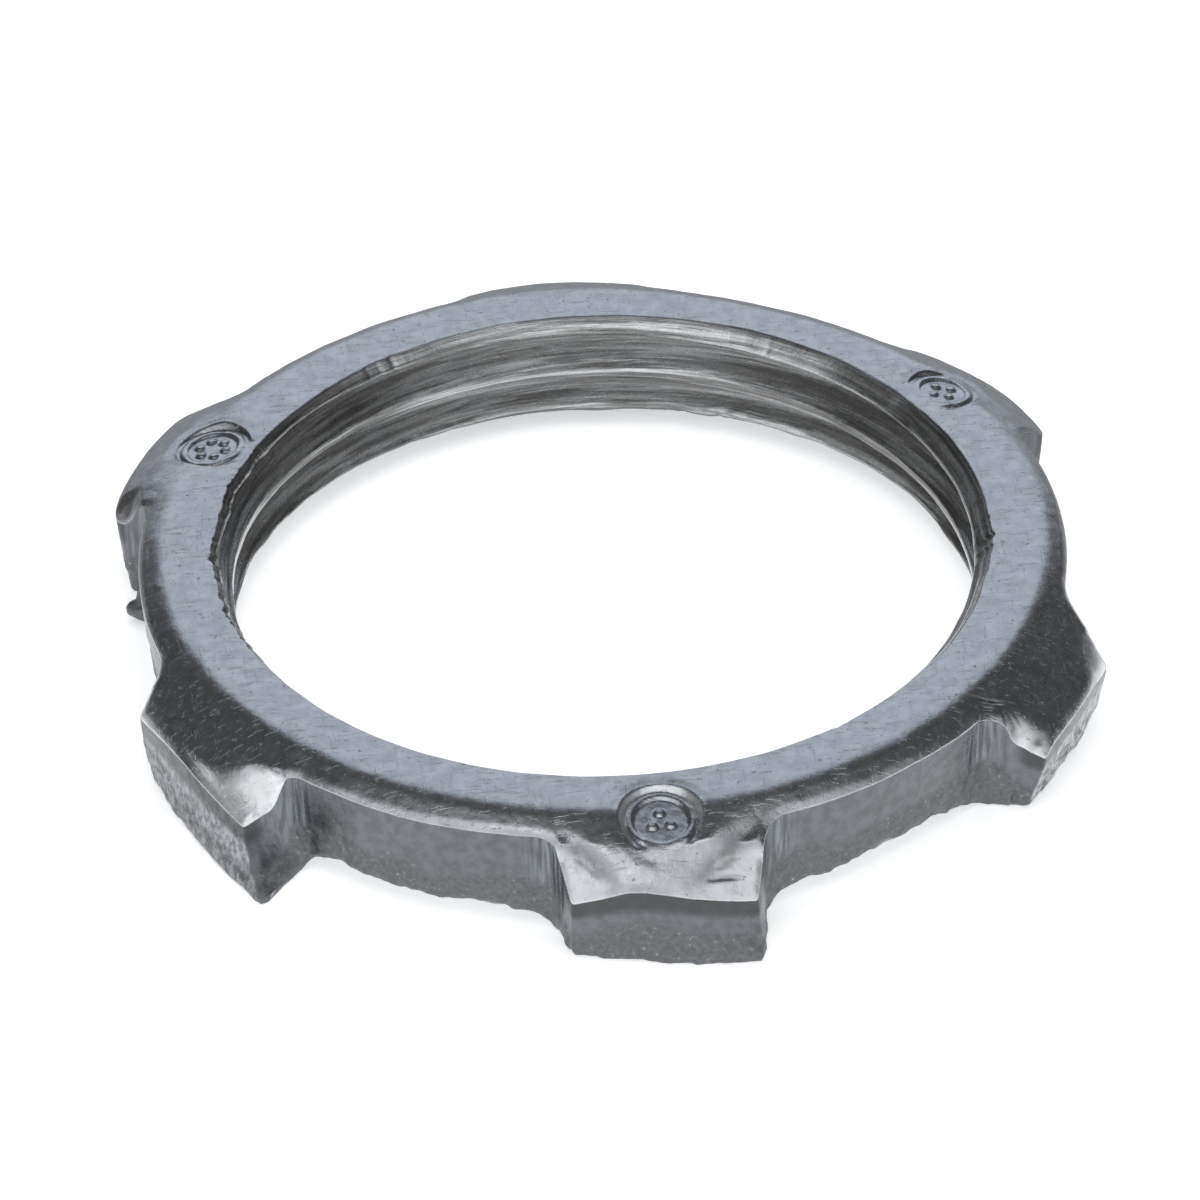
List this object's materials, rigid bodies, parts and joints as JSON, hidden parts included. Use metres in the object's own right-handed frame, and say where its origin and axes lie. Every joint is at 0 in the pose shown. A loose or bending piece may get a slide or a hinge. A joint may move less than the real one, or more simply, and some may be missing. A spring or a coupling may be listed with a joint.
{
  "type": "conduit locknut",
  "caption": "Stamped steel conduit locknut: a flat threaded ring with sloping lugs around its rim, which clamps a threaded fitting to the wall of an electrical box.",
  "frame": {"origin": "on the bore axis, in the plane of the lug feet", "axes": "+Z along the bore axis, from the lug feet to the flat top; -Y through the middle of a lug that carries a stamped pad"},
  "size_m": [0.0392, 0.0412, 0.0055],
  "materials": {
    "zinc_plated_steel": "satin grey-blue zinc plate over stamped steel, with small pits, scratches and dark shear marks"
  },
  "bodies": {
    "root": {"locknut": "zinc_plated_steel"}
  },
  "joints": []
}
